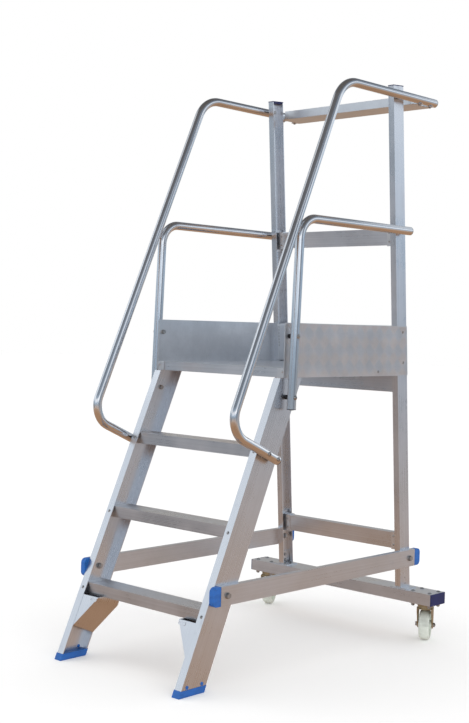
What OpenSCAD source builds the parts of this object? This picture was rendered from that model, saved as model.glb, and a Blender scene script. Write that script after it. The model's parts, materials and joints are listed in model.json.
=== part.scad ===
// Mobile ladder stand: three treads and a railed platform on a bolted
// aluminium frame, with two swivel castors under the rear base beam.
// X runs across the stand, Y from the climbing side to the rear, Z is up.
// Every node is drawn in its own place; the right-hand half is modelled and
// mirrored for the left.

/* [Overall] */
// Width over the outer faces of the stiles and posts
frame_w = 594; // [480:2:800]
// Vertical rise from one tread to the next
rise = 250; // [220:1:280]
// Slope of the stiles from the floor, in degrees
climb_angle = 66.2; // [62:0.2:72]
// Height of the rear posts above the deck
post_rise = 1003; // [900:1:1300]
// Floor-level distance from the foot of the stile to the front of a post
post_foot_y = 1152; // [1080:1:1350]
// Forward lean of the rear posts, in degrees
post_lean = 4.5; // [0:0.1:6]

/* [Stiles and feet] */
// Depth of the stile channel, square to its length
stile_depth = 98; // [94:1:120]
// Width of the stile flange
stile_flange = 29; // [24:1:36]
// Wall of the stile channel
stile_wall = 3; // [2:0.5:4]
// Height of the plastic foot under the stile
foot_h = 22; // [16:1:30]
// Depth of the foot's pocket round the stile
foot_pocket = 13; // [8:1:16]
// Diameter of the rivets in the feet
foot_rivet_d = 6; // [4:0.5:8]

/* [Treads] */
// Front-to-rear size of a tread
tread_depth = 80; // [70:1:82]
// Height of the tread section
tread_h = 38; // [30:1:39]
// Wall of the tread section
tread_wall = 2.4; // [1.6:0.2:3]
// Set-back of the tread behind the front of the stile
tread_setback = 5; // [4:0.5:6]
// Length of the end bracket that shows beside the stile
bracket_show = 9; // [4:1:20]
// Number of grip grooves along the top of a tread
grip_grooves = 7; // [4:1:9]
// Diameter of the tread rivets
tread_rivet_d = 5; // [4:0.5:6]

/* [Braces] */
// Reach of the brace under the lowest tread
brace_reach = 75; // [50:1:110]
// Drop of the brace down the stile
brace_drop = 108; // [80:1:110]
// Thickness of the brace plate
brace_t = 2.5; // [2:0.5:4]

/* [Platform] */
// Height of the platform deck section
deck_h = 31; // [26:1:40]
// Number of planks across the deck
deck_planks = 4; // [3:1:6]
// Gap between planks and beside them
deck_gap = 1.5; // [1:0.5:3]
// Thickness of the toe boards
toe_t = 2.5; // [1.5:0.5:3]
// Height of the toe boards above the deck
toe_rise = 149; // [120:1:170]
// How far a side toe board starts in front of the stile's head
toe_front = 1.05; // [-7:0.05:11.1]
// Diameter of the toe board rivets
toe_rivet_d = 5; // [4:0.5:6]
// Height of the beam under the rear of the deck
rear_beam_h = 61; // [50:1:80]

/* [Posts and cross rails] */
// Depth of the post channel
post_depth = 58; // [50:1:66]
// Width of the post flange
post_flange = 24; // [20:1:30]
// Wall of the post channel
post_wall = 3; // [2:0.5:4]
// Height of the cross rail section
cross_h = 60; // [50:1:70]
// Thickness of the cross rail section
cross_t = 25; // [20:1:30]
// Height of the middle of the lower cross rail
cross_low_z = 354; // [345:1:420]
// Height of the middle of the middle cross rail above the deck
cross_mid_rise = 474; // [400:1:540]

/* [Handrails] */
// Outside diameter of the rail tubes
tube_d = 30; // [28:1:34]
// Wall of the rail tubes
tube_wall = 2; // [1.5:0.5:3]
// Gap between the frame and the rail tubes
rail_gap = 12; // [10:1:16]
// Square distance from the stile front to the handrail centre
handrail_out = 180; // [160:1:200]
// Height of the handrails above the deck, at the tube's centre
handrail_rise = 968; // [880:1:975]
// Rear end of the handrails
handrail_end_y = 1212; // [1190:1:1230]
// Distance of the handrail's leg below the top tread, along the stile
leg_below_tread = 16.71; // [-20.3:0.01:60]
// Bend radius low on the handrail
low_bend_r = 78; // [45:1:85]
// Bend radius at the top of the handrail
top_bend_r = 110; // [80:1:130]
// Height of the middle rails above the deck, at the tube's centre
mid_rail_rise = 492; // [440:1:540]
// Distance of the middle rail's leg behind the stile's head
mid_leg_back = 16.95; // [10.9:0.05:25]
// Rearward lean of the middle rail's leg, in degrees
mid_leg_lean = 1.9; // [0:0.1:3]
// How far the middle rail's leg reaches below the deck
mid_leg_drop = 132; // [110:1:160]
// Bend radius of the middle rail
mid_bend_r = 75; // [45:1:78]
// Rear end of the middle rails
mid_rail_end_y = 1083; // [1075:1:1100]
// Diameter of the rail bolts
rail_bolt_d = 8; // [6:1:10]
// Diameter of the spacers between frame and rail
spacer_d = 15; // [14:1:22]

/* [Tool shelf] */
// Front-to-rear size of the tool shelf
shelf_depth = 108; // [80:1:110]
// Height of the lips of the tool shelf
shelf_lip = 32; // [20:1:36]
// Sheet thickness of the tool shelf
shelf_t = 2.5; // [1.5:0.5:3]

/* [Base] */
// Height of the side rail section
side_rail_h = 62; // [50:1:70]
// Thickness of the side rail section
side_rail_t = 20; // [16:1:30]
// Height of the middle of the side rails
side_rail_z = 294; // [270:1:300]
// Front end of the side rails
side_rail_front = 120; // [100:1:125]
// Rear end of the side rails
side_rail_rear = 1227; // [1222:1:1250]
// Length of the side rail caps
rail_cap_len = 34; // [26:1:36]
// Diameter of the side rail bolts
side_bolt_d = 10; // [8:1:12]
// How far the base beam reaches past the posts on each side
beam_over = 142; // [93:1:200]
// Front-to-rear size of the base beam
beam_depth = 90; // [80:1:110]
// Height of the base beam section
beam_h = 42; // [36:1:50]
// Wall of the base beam
beam_wall = 3; // [2:0.5:4]
// Front face of the base beam
beam_front_y = 1128; // [1118:1:1132]

/* [Castors] */
// Height from the floor to the underside of the base beam
castor_h = 139; // [136:1:146]
// Diameter of the castor wheels
wheel_d = 110; // [96:1:111]
// Width of the wheel's tread
wheel_w = 38; // [28:1:42]
// Width of the wheel over its hub
hub_w = 48; // [44:1:49]
// Gap between the legs of the fork
fork_gap = 50; // [50:1:56]
// Thickness of the fork
fork_t = 3; // [2.5:0.5:4]
// Distance from the swivel axis back to the wheel's axle
trail = 14; // [12:1:24]
// Turn of both castors at rest, in degrees
castor_turn = 207; // [0:1:359]
// Distance of a swivel axis from the end of the base beam
castor_in = 56; // [56:1:80]
// Diameter of the kingpin
kingpin_d = 12; // [10:1:14]
// Diameter of the axle bolt
axle_d = 8; // [8:1:10]
// Radial running clearance of the kingpin and the wheel bush
running = 0.06; // [0.03:0.01:0.09]

/* [Hidden] */
$fn = 48;

// Colours of the finishes
ALUMINIUM = [0.78, 0.80, 0.83];
PLATE = [0.84, 0.86, 0.88];
BLUE = [0.10, 0.30, 0.68];
DARK = [0.13, 0.15, 0.24];
STEEL = [0.62, 0.62, 0.60];
ZINC = [0.68, 0.60, 0.36];
NYLON = [0.90, 0.90, 0.85];

// Clearance of a bolt or rivet in its hole, on the diameter
hole_play = 0.4;
// Clearance of a plug inside its section
plug_play = 0.4;
// Clearance of the stile in the foot's pocket
pocket_play = 0.15;
// Height of the foot's rivets above the foot
foot_rivet_up = 7;
// Clearance between pieces that only sit beside each other
side_play = 0.5;

half_w = frame_w / 2;
deck_z = 4 * rise;
post_top = deck_z + post_rise;
cross_mid_z = deck_z + cross_mid_rise;
handrail_z = deck_z + handrail_rise;
mid_rail_z = deck_z + mid_rail_rise;
mid_leg_end_z = deck_z - mid_leg_drop;
beam_len = frame_w + 2 * beam_over;
stile_inner = half_w - stile_wall;
post_inner = half_w - post_wall;
stile_run = stile_depth / sin(climb_angle);
post_run = post_depth / cos(post_lean);
tread_half = half_w - stile_flange - bracket_show;
under_tread = rise - tread_h;
beam_top = castor_h + beam_h;
rail_x = half_w + rail_gap + tube_d / 2;
deck_half = half_w - stile_flange - side_play;
toe_bottom = deck_z - deck_h + 1;
toe_top = deck_z + toe_rise;
castor_x = beam_len / 2 - castor_in;
castor_y = beam_front_y + beam_depth / 2 + 3;
axle_z = wheel_d / 2;

// How far the foot stands out round the stile
sole_out = 1.5;
// Bevel on the edges of a castor wheel
wheel_bevel = 6;
// Rearmost point of a castor wheel as it stands at rest
wheel_rear = castor_y - trail * cos(castor_turn)
    + max(wheel_d / 2 * abs(cos(castor_turn))
              + (wheel_w / 2 - wheel_bevel) * abs(sin(castor_turn)),
          (wheel_d / 2 - wheel_bevel) * abs(cos(castor_turn))
              + wheel_w / 2 * abs(sin(castor_turn)));
// Front to rear middle of the whole stand
mid_y = (max(side_rail_rear, wheel_rear) - sole_out / sin(climb_angle)) / 2;

// Front line of a stile and of a post at height z
function stile_y(z) = z / tan(climb_angle);
function post_y(z) = post_foot_y - z * tan(post_lean);

// Places that follow the head of the stile and the top tread
toe_front_y = stile_y(deck_z) - toe_front;
mid_leg_y = stile_y(deck_z) + mid_leg_back;
handrail_leg_s = 3 * rise / sin(climb_angle) - leg_below_tread;

// Point at offset o behind the stile's front and s along it, as [y, z]
function on_stile(o, s) = [o * sin(climb_angle) + s * cos(climb_angle),
                           s * sin(climb_angle) - o * cos(climb_angle)];

// ---- Placing ----

module place() { translate([0, -mid_y, 0]) children(); }
module left() { mirror([1, 0, 0]) children(); }
module both() { children(); mirror([1, 0, 0]) children(); }

// Local Y is square to the stile and local Z runs up it
module stile_frame() { rotate([climb_angle - 90, 0, 0]) children(); }

// Local Y is square to the post and local Z runs up it
module post_frame() {
    translate([0, post_foot_y, 0]) rotate([post_lean, 0, 0]) children();
}

// Turns a drawing in Y and Z into a solid that runs along X
module along_x(x0, x1) {
    translate([x0, 0, 0]) rotate([90, 0, 90])
        linear_extrude(height = x1 - x0) children();
}

// Turns a drawing in X and Z into a solid that runs along Y
module along_y(y0, y1) {
    translate([0, y1, 0]) rotate([90, 0, 0])
        linear_extrude(height = y1 - y0) children();
}

// Box from one corner to the other
module box(a, b) { translate(a) cube(b - a); }

// Everything below or above a level, for square cuts
module below(z) { box([-900, -900, z - 900], [900, 2200, z]); }
module above(z) { box([-900, -900, z], [900, 2200, z + 900]); }

// ---- Fasteners, head towards +Z, seat at the origin ----

module hole(d, len) {
    translate([0, 0, -len]) cylinder(d = d + hole_play, h = len + 20);
}

// Hole that starts at the middle of a rail tube
module near_hole(d, len) {
    translate([0, 0, -len])
        cylinder(d = d + hole_play, h = len - tube_d / 2);
}

module hex_bolt(d, len) {
    translate([0, 0, -len]) cylinder(d = d, h = len + 0.2);
    washer_h = 1.6;
    difference() {
        cylinder(d = 2.1 * d, h = washer_h);
        translate([0, 0, -1]) cylinder(d = d - 1, h = washer_h + 2);
    }
    translate([0, 0, washer_h]) cylinder(d = 1.8 * d, h = 0.62 * d, $fn = 6);
    translate([0, 0, washer_h - 0.5]) cylinder(d = d, h = 1);
}

// Domed head with a hexagon socket
module dome_bolt(d, len) {
    translate([0, 0, -len]) cylinder(d = d, h = len + 0.2);
    difference() {
        intersection() {
            cylinder(d = 1.9 * d, h = 0.6 * d);
            translate([0, 0, -0.5 * d]) sphere(d = 2.2 * d);
        }
        translate([0, 0, 0.25 * d]) cylinder(d = 0.6 * d, h = d, $fn = 6);
    }
}

module hex_nut(d) {
    difference() {
        union() {
            cylinder(d = 2.1 * d, h = 1.6);
            translate([0, 0, 1.6]) cylinder(d = 1.8 * d, h = 0.8 * d, $fn = 6);
        }
        translate([0, 0, -1]) cylinder(d = d + 0.1, h = d + 6);
    }
}

module rivet(d, len) {
    translate([0, 0, -len]) cylinder(d = d, h = len + 0.2);
    intersection() {
        cylinder(d = 2 * d, h = d);
        translate([0, 0, -1.1 * d]) sphere(d = 3.2 * d);
    }
}

// ---- Bent tube in a plane of Y and Z ----

function seg_dir(a, b) = atan2(b[1] - a[1], b[0] - a[0]);
function turn_at(p, i) =
    let (t = seg_dir(p[i], p[i + 1]) - seg_dir(p[i - 1], p[i]))
    t > 180 ? t - 360 : t < -180 ? t + 360 : t;
function setback_at(p, r, i) =
    (i == 0 || i == len(p) - 1) ? 0 : r[i] * tan(abs(turn_at(p, i)) / 2);

// A bend is a hair fuller than the straights, which end inside it
bend_swell = 0.2;
bend_lap = 1;

module bent_rod(p, r, d, past = 0) {
    last = len(p) - 1;
    rotate([90, 0, 90]) {
        for (i = [0 : last - 1]) {
            start = setback_at(p, r, i) - (i == 0 ? past : bend_lap);
            stop = norm(p[i + 1] - p[i]) - setback_at(p, r, i + 1)
                 + (i == last - 1 ? past : bend_lap);
            translate(p[i]) rotate([0, 0, seg_dir(p[i], p[i + 1])])
                translate([start, 0, 0]) rotate([0, 90, 0])
                    cylinder(d = d, h = stop - start);
        }
        for (i = [1 : last - 1]) {
            a = seg_dir(p[i - 1], p[i]);
            turn = turn_at(p, i);
            side = sign(turn);
            translate(p[i]) rotate([0, 0, a])
                translate([-setback_at(p, r, i), side * r[i], 0])
                    rotate([0, 0, side > 0 ? -90 : 90 + turn])
                        rotate_extrude(angle = abs(turn))
                            translate([r[i], 0]) circle(d = d + bend_swell);
        }
    }
}

module bent_tube(p, r) {
    difference() {
        bent_rod(p, r, tube_d);
        bent_rod(p, r, tube_d - 2 * tube_wall, 1);
    }
}

// ---- Stiles, feet, treads and braces ----

module channel(depth, flange, wall, play = 0) {
    difference() {
        translate([half_w - flange - play, -play])
            square([flange + 2 * play, depth + 2 * play]);
        translate([half_w - flange - play - 1, wall + play])
            square([flange - wall + 1, depth - 2 * wall - 2 * play]);
    }
}

// Rivets of the foot, through the web of the stile
module foot_rivet_places() {
    for (share = [0.2, 0.8])
        translate([half_w, stile_y(foot_h + foot_rivet_up)
                   + share * stile_run, foot_h + foot_rivet_up])
            rotate([0, 90, 0]) children();
}

// Rivets through the front flange beside each tread
module tread_rivet_places() {
    for (k = [1 : 3])
        stile_frame() translate([half_w - stile_flange / 2, 0,
                                 (k * rise - 17) / sin(climb_angle)])
            rotate([90, 0, 0]) children();
}

// Bolts of the side rail, one through the stile and one through the post
module side_bolt_places() {
    for (y = [stile_y(side_rail_z) + stile_run / 2,
              post_y(side_rail_z) + post_depth / 2 + 4])
        translate([half_w + side_rail_t, y, side_rail_z])
            rotate([0, 90, 0]) children();
}

// Bolts through the lower leg of the handrail, behind the stile's front
leg_bolts = [14, 62];

module leg_bolt_places() {
    for (o = leg_bolts)
        translate([rail_x + tube_d / 2, on_stile(o, handrail_leg_s)[0],
                   on_stile(o, handrail_leg_s)[1]])
            rotate([0, 90, 0]) children();
}

// Bolts through the middle rail's leg, the first into the stile
module mid_bolt_places(which = [0, 1]) {
    heights = [mid_leg_end_z + 38, toe_top - 44];
    for (i = which)
        translate([rail_x + tube_d / 2,
                   mid_leg_y + (heights[i] - deck_z) * tan(mid_leg_lean),
                   heights[i]])
            rotate([0, 90, 0]) children();
}

// Bolts that hold both rails to the post
module post_bolt_places() {
    for (z = [mid_rail_z, handrail_z])
        translate([rail_x + tube_d / 2, post_y(z) + post_depth / 2, z])
            rotate([0, 90, 0]) children();
}

rail_grip = tube_d + rail_gap + stile_wall;
post_grip = tube_d + rail_gap + post_wall;

module stile() {
    difference() {
        stile_frame() linear_extrude(height = 1300)
            channel(stile_depth, stile_flange, stile_wall);
        below(foot_h - foot_pocket);
        // The deck corner and the deck side pass over the stile
        above(deck_z - deck_h - 1);
        foot_rivet_places() hole(foot_rivet_d, 12);
        tread_rivet_places() hole(tread_rivet_d, 12);
        side_bolt_places() hole(side_bolt_d, side_rail_t + 12);
        leg_bolt_places() hole(rail_bolt_d, rail_grip + 12);
        mid_bolt_places([0]) hole(rail_bolt_d, rail_grip + 12);
    }
}

// Shoe under the stile: a sole with a rim that the stile stands in
module foot() {
    difference() {
        stile_frame() translate([half_w - stile_flange - sole_out,
                                 -sole_out, -80])
            cube([stile_flange + 2 * sole_out,
                  stile_depth + 2 * sole_out, 300]);
        below(0);
        above(foot_h);
        difference() {
            stile_frame() linear_extrude(height = 300)
                channel(stile_depth, stile_flange, stile_wall, pocket_play);
            below(foot_h - foot_pocket);
        }
    }
}

module foot_rivets_right() {
    foot_rivet_places() {
        rivet(foot_rivet_d, stile_wall + 0.5);
        translate([0, 0, -stile_wall]) rotate([180, 0, 0])
            rivet(foot_rivet_d, 0.5);
    }
}

// Outline of a tread with its grip grooves, front edge at the origin
module tread_outline() {
    groove = 2;
    pitch = (tread_depth - 12) / grip_grooves;
    difference() {
        translate([0, -tread_h]) square([tread_depth, tread_h]);
        for (i = [0 : grip_grooves - 1])
            translate([6 + pitch * (i + 0.5) - groove / 2, -1.2])
                square([groove, 2]);
    }
}

module tread_hollow(play = 0) {
    rib = 2;
    inner_w = (tread_depth - 2 * tread_wall - rib) / 2;
    for (i = [0, 1])
        translate([tread_wall + i * (inner_w + rib) + play,
                   tread_wall - tread_h + play])
            square([inner_w - 2 * play,
                    tread_h - 2 * tread_wall - 1.2 - 2 * play]);
}

module tread(k) {
    color(ALUMINIUM) place()
        translate([0, stile_y(k * rise) + tread_setback, k * rise])
            along_x(-tread_half, tread_half) difference() {
                tread_outline();
                tread_hollow();
            }
}

// End bracket: a block against the stile with spigots inside the tread
module tread_bracket(k) {
    spigot = 26;
    difference() {
        translate([0, stile_y(k * rise) + tread_setback, k * rise]) {
            along_x(tread_half, stile_inner - side_play / 2)
                translate([0, -tread_h]) square([tread_depth, tread_h]);
            along_x(tread_half - spigot, tread_half + 1)
                tread_hollow(plug_play / 2);
        }
        tread_rivet_places() hole(tread_rivet_d, 12);
    }
}

module tread_rivets_right() {
    tread_rivet_places() rivet(tread_rivet_d, 12);
}

module brace() {
    x0 = half_w - stile_flange;
    x1 = x0 - brace_reach;
    s1 = under_tread / sin(climb_angle);
    s0 = s1 - brace_drop;
    s2 = s1 + 60;
    plate_x = brace_t * norm([x1 - x0, s1 - s0]) / (s1 - s0);
    ring_x = x1 + 19;
    difference() {
        stile_frame() {
            // Sloping plate, then the front and rear flanges
            along_y(1, stile_depth - 1)
                polygon([[x0, s0], [x1, s1], [x1, s2], [x1 + plate_x, s2],
                         [x1 + plate_x, s1], [x0, s0 + brace_t]]);
            for (o = [1, stile_depth - 1 - brace_t]) along_y(o, o + brace_t)
                polygon([[x0, s0], [x1, s1], [x1, s2], [x0, s2]]);
        }
        above(under_tread - 0.2);
    }
    // Long ring pressed out of the front flange
    stile_frame() along_y(-0.2, 1.5) translate([ring_x, s1 - 10])
        difference() {
            oblong(32, 11);
            oblong(27, 6);
        }
}

module oblong(len, wide) {
    square([len - wide, wide], center = true);
    for (side = [-1, 1])
        translate([side * (len - wide) / 2, 0]) circle(d = wide);
}

// ---- Deck and toe boards ----

module deck_nosing() {
    color(ALUMINIUM) place()
        translate([0, stile_y(deck_z) + tread_setback, deck_z])
            along_x(-deck_half, deck_half) difference() {
                translate([0, -deck_h]) square([38, deck_h]);
                translate([3, 3 - deck_h]) square([32, deck_h - 6.5]);
                for (i = [0 : 2])
                    translate([8 + i * 9, -1.2]) square([2.5, 2]);
            }
}

plank_y0 = stile_y(deck_z) + tread_setback + 38 + deck_gap;

module deck_planking() {
    span = 2 * deck_half;
    w = (span - (deck_planks - 1) * deck_gap) / deck_planks;
    rear = post_y(deck_z) + post_depth - 4;
    color(ALUMINIUM) place() for (i = [0 : deck_planks - 1])
        translate([-deck_half + i * (w + deck_gap), 0, deck_z])
            along_y(plank_y0, rear) difference() {
                translate([0, -deck_h]) square([w, deck_h]);
                for (j = [0 : 2])
                    translate([3 + j * (w - 3) / 3, 2.5 - deck_h])
                        square([(w - 3) / 3 - 3, deck_h - 6]);
                for (j = [0 : 8])
                    translate([5 + j * (w - 10) / 9, -1])
                        square([3, 2]);
            }
}

corner_len = 34;

module deck_side() {
    x0 = deck_half + side_play;
    front = stile_y(deck_z) + corner_len + side_play;
    back = post_y(deck_z) - 2;
    wall = 3;
    difference() {
        along_y(front, back) difference() {
            translate([x0, deck_z - deck_h]) square([half_w - x0, deck_h]);
            translate([x0 - 1, deck_z - deck_h + wall])
                square([half_w - x0 + 1 - wall, deck_h - 2 * wall]);
        }
        toe_side_rivet_places() hole(toe_rivet_d, 8);
    }
}

// Corner block at the head of a stile, with its bolt into the deck side
module deck_corner() {
    x0 = deck_half + side_play;
    y0 = stile_y(deck_z);
    box([x0, y0, deck_z - deck_h - 1], [half_w, y0 + corner_len, deck_z]);
    translate([half_w - 7, y0, deck_z - 10]) rotate([90, 0, 0])
        cylinder(d = 9, h = 3.5);
    box([x0 + 4, y0 + corner_len - 1, deck_z - deck_h + 3.4],
        [half_w - 3.4, y0 + corner_len + 20, deck_z - 3.4]);
}

module rear_deck_beam() {
    low = deck_z - deck_h - rear_beam_h;
    wall = 2.5;
    color(ALUMINIUM) place()
        translate([0, post_y(low) + post_wall + 2, low])
            along_x(-post_inner + side_play, post_inner - side_play)
                difference() {
                    square([cross_t, rear_beam_h - 0.5]);
                    translate([wall, wall])
                        square([cross_t - 2 * wall,
                                rear_beam_h - 0.5 - 2 * wall]);
                }
}

// Rivets that hold the side toe boards to the posts and the deck sides
module toe_side_rivet_places() {
    for (z = [toe_top - 22, toe_bottom + 46])
        translate([half_w + toe_t, post_y(z) + post_depth * 0.55, z])
            rotate([0, 90, 0]) children();
    for (y = [stile_y(deck_z) + 52, post_y(deck_z) - 120])
        translate([half_w + toe_t, y, deck_z - deck_h / 2])
            rotate([0, 90, 0]) children();
}

// Rivets of the rear toe board into the rear flanges of the posts
module toe_rear_rivet_places() {
    for (h = [30, 120])
        post_frame() translate([half_w - post_flange / 2,
                                post_depth + toe_t, toe_bottom + h])
            rotate([-90, 0, 0]) children();
}

module toe_board_side() {
    difference() {
        // The rear edge keeps in line with the rear of the post
        along_x(half_w, half_w + toe_t)
            polygon([[toe_front_y, toe_bottom],
                     [post_y(toe_bottom) + post_run, toe_bottom],
                     [post_y(toe_top) + post_run, toe_top],
                     [toe_front_y, toe_top]]);
        toe_side_rivet_places() hole(toe_rivet_d, 8);
        mid_bolt_places([1]) hole(rail_bolt_d, rail_grip + 12);
    }
}

module toe_board_rear() {
    color(PLATE) place() difference() {
        post_frame() box([-half_w + 1, post_depth, toe_bottom],
                         [half_w - 1, post_depth + toe_t, toe_top]);
        both() toe_rear_rivet_places() hole(toe_rivet_d, 8);
    }
}

// Plates that close the open inner side of the posts
module toe_corner_plate() {
    x1 = half_w - post_flange;
    difference() {
        post_frame() box([x1 - 2, -5, deck_z + 6],
                         [x1, post_depth - 0.5, toe_top]);
        corner_rivet_places() hole(2.6, 3);
    }
}

// A column of small rivets down each edge of the corner plate
module corner_rivet_places() {
    for (i = [0 : 6], o = [1, post_depth - 3.5])
        post_frame() translate([half_w - post_flange - 2, o,
                                toe_top - 12 - i * 12])
            rotate([0, -90, 0]) children();
}

module toe_rivets_right() {
    toe_side_rivet_places() rivet(toe_rivet_d, 5);
    toe_rear_rivet_places() rivet(toe_rivet_d, 5);
    corner_rivet_places() rivet(2.6, 1.6);
}

// ---- Posts and cross rails ----

shoe_t = 4;

// Bolts from the post shoe through the post web
module shoe_web_places() {
    for (h = [16, 38])
        translate([half_w, post_y(beam_top + h) + post_depth / 2,
                   beam_top + h])
            rotate([0, 90, 0]) children();
}

// Bolts from the post shoe down into the base beam
module shoe_base_places() {
    for (side = [-1, 1])
        translate([half_w - 22, post_y(beam_top) + post_depth / 2 + side * 19,
                   beam_top + shoe_t])
            children();
}

module post() {
    difference() {
        post_frame() linear_extrude(height = post_top / cos(post_lean))
            channel(post_depth, post_flange, post_wall);
        below(beam_top + shoe_t);
        side_bolt_places() hole(side_bolt_d, side_rail_t + 12);
        post_bolt_places() near_hole(rail_bolt_d, post_grip + 1);
        toe_side_rivet_places() hole(toe_rivet_d, 8);
        toe_rear_rivet_places() hole(toe_rivet_d, 8);
        shoe_web_places() hole(6, 12);
    }
}

module post_cap() {
    top = post_top / cos(post_lean);
    post_frame() {
        box([half_w - post_flange - 1, -1, top],
            [half_w + 1, post_depth + 1, top + 3]);
        box([half_w - post_flange + 2, post_wall + plug_play / 2, top - 5],
            [post_inner - plug_play / 2, post_depth - post_wall - plug_play / 2,
             top + 1]);
    }
}

module cross_rail(mid) {
    o = (post_depth - cross_t) / 2;
    end = post_inner - 10;
    color(ALUMINIUM) place() difference() {
        post_frame() along_x(-end, end) difference() {
            translate([o, mid - cross_h / 2]) square([cross_t, cross_h]);
            translate([o + 2.5, mid - cross_h / 2 + 2.5])
                square([cross_t - 5, cross_h - 5]);
        }
        both() cleat_screw_places(mid) hole(4, 9);
    }
}

// Screws from the front of a cleat into its cross rail
module cleat_screw_places(mid) {
    for (h = [-16, 16])
        post_frame() translate([post_inner - 36, (post_depth - cross_t) / 2 - 3,
                                mid + h])
            rotate([90, 0, 0]) children();
}

// Cleat: an end plate on the post web with a sleeve round the rail
module cleat(mid) {
    o = (post_depth - cross_t) / 2;
    difference() {
        post_frame() {
            box([post_inner - 3.5, o - 6, mid - cross_h / 2 - 12],
                [post_inner - 0.2, o + cross_t + 6, mid + cross_h / 2 + 12]);
            difference() {
                box([post_inner - 46, o - 3, mid - cross_h / 2 - 3],
                    [post_inner - 3, o + cross_t + 3, mid + cross_h / 2 + 3]);
                box([post_inner - 50, o - 0.15, mid - cross_h / 2 - 0.15],
                    [post_inner - 3.6, o + cross_t + 0.15,
                     mid + cross_h / 2 + 0.15]);
            }
        }
        cleat_screw_places(mid) hole(4, 9);
        // Room for the head of the rail bolt
        post_bolt_places() translate([0, 0, -post_grip - 5.5])
            cylinder(d = 13.6, h = 6);
    }
}

// ---- Rails ----

// Length of the handrail's leg behind its second bolt
leg_past_bolt = 12;

handrail_path = [
    on_stile(leg_bolts[1] + leg_past_bolt, handrail_leg_s),
    on_stile(-handrail_out, handrail_leg_s),
    [stile_y(handrail_z) - handrail_out / sin(climb_angle), handrail_z],
    [handrail_end_y, handrail_z]];
handrail_bends = [0, low_bend_r, top_bend_r, 0];

function leg_y(z) = mid_leg_y + (z - deck_z) * tan(mid_leg_lean);
mid_path = [[leg_y(mid_leg_end_z), mid_leg_end_z],
            [leg_y(mid_rail_z), mid_rail_z],
            [mid_rail_end_y, mid_rail_z]];
mid_bends = [0, mid_bend_r, 0];

module handrail() {
    difference() {
        translate([rail_x, 0, 0]) bent_tube(handrail_path, handrail_bends);
        leg_bolt_places() hole(rail_bolt_d, rail_grip + 12);
        post_bolt_places() near_hole(rail_bolt_d, post_grip + 1);
        shelf_screw_places() hole(5, 16);
    }
}

module mid_rail() {
    difference() {
        translate([rail_x, 0, 0]) bent_tube(mid_path, mid_bends);
        mid_bolt_places() hole(rail_bolt_d, rail_grip + 12);
        post_bolt_places() near_hole(rail_bolt_d, post_grip + 1);
    }
}

// A plug ends short of the bolt nearest to it
plug_len = leg_past_bolt - rail_bolt_d / 2 - 1.5;

// Plug with a shallow domed head, for the end of a tube
module tube_plug() {
    cylinder(d = tube_d, h = 2);
    translate([0, 0, -plug_len])
        cylinder(d = tube_d - 2 * tube_wall - plug_play, h = plug_len + 1);
    intersection() {
        cylinder(d = tube_d - 3, h = 4);
        translate([0, 0, 4 - tube_d]) sphere(r = tube_d);
    }
}

// Children stand on the end of a path, pointing out of it
module at_path_end(from, to) {
    translate([rail_x, to[0], to[1]])
        rotate([seg_dir(from, to) - 90, 0, 0]) children();
}

module rail_plugs_right() {
    at_path_end(handrail_path[1], handrail_path[0]) tube_plug();
    at_path_end(handrail_path[2], handrail_path[3]) tube_plug();
    at_path_end(mid_path[1], mid_path[0]) tube_plug();
    at_path_end(mid_path[1], mid_path[2]) tube_plug();
}

// Spacer from the frame to the saddle of the tube
module spacer(seat) {
    translate([0, 0, -tube_d / 2 - (rail_x - seat)])
        difference() {
            cylinder(d = spacer_d, h = rail_x - seat - tube_d / 2 + 3);
            translate([0, 0, -1]) cylinder(d = rail_bolt_d + hole_play, h = 60);
        }
}

module rail_spacers_right() {
    difference() {
        union() {
            leg_bolt_places() spacer(half_w);
            mid_bolt_places([0]) spacer(half_w);
            mid_bolt_places([1]) spacer(half_w + toe_t);
            post_bolt_places() spacer(half_w);
        }
        translate([rail_x, 0, 0]) {
            bent_rod(handrail_path, handrail_bends, tube_d);
            bent_rod(mid_path, mid_bends, tube_d);
        }
    }
}

// Bolt through a tube and the plate behind it, with its nut
module rail_bolt(grip) {
    dome_bolt(rail_bolt_d, grip + 8);
    translate([0, 0, -grip]) rotate([180, 0, 0]) hex_nut(rail_bolt_d);
}

// Bolt from inside the post into the near wall of the tube
module post_bolt() {
    into_tube = tube_wall + 5;
    translate([0, 0, -post_grip - 0.2])
        cylinder(d = rail_bolt_d, h = post_grip - tube_d + into_tube + 0.2);
    translate([0, 0, -post_grip - 5]) cylinder(d = 13, h = 5);
}

module rail_bolts_right() {
    // The leg bolts end in threaded inserts in the web of the stile
    leg_bolt_places() dome_bolt(rail_bolt_d, rail_grip);
    mid_bolt_places([0]) rail_bolt(rail_grip);
    mid_bolt_places([1]) rail_bolt(tube_d + rail_gap);
    post_bolt_places() post_bolt();
}

// Clearance of the bead round both tubes
bead_play = 0.3;

// Bead where the middle rail's bend lies against the handrail
module rail_welds_right() {
    centre = [mid_path[1][0] + mid_bend_r * (1 - sin(mid_leg_lean)),
              mid_rail_z - mid_bend_r];
    reach = centre[0] * sin(climb_angle) - centre[1] * cos(climb_angle)
          + handrail_out;
    out = mid_bend_r + (reach - mid_bend_r) / 2;
    spot = [centre[0] - out * sin(climb_angle),
            centre[1] + out * cos(climb_angle)];
    difference() {
        translate([rail_x, spot[0], spot[1]])
            rotate([climb_angle - 90, 0, 0]) translate([0, 0, -15])
                cylinder(d = 13, h = 30);
        translate([rail_x, 0, 0]) {
            bent_rod(handrail_path, handrail_bends, tube_d + bead_play);
            bent_rod(mid_path, mid_bends, tube_d + bead_play);
        }
    }
}

// ---- Tool shelf ----

shelf_z = handrail_z - tube_d / 2 - shelf_t;
shelf_y0 = handrail_end_y - shelf_depth - 8;

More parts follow.
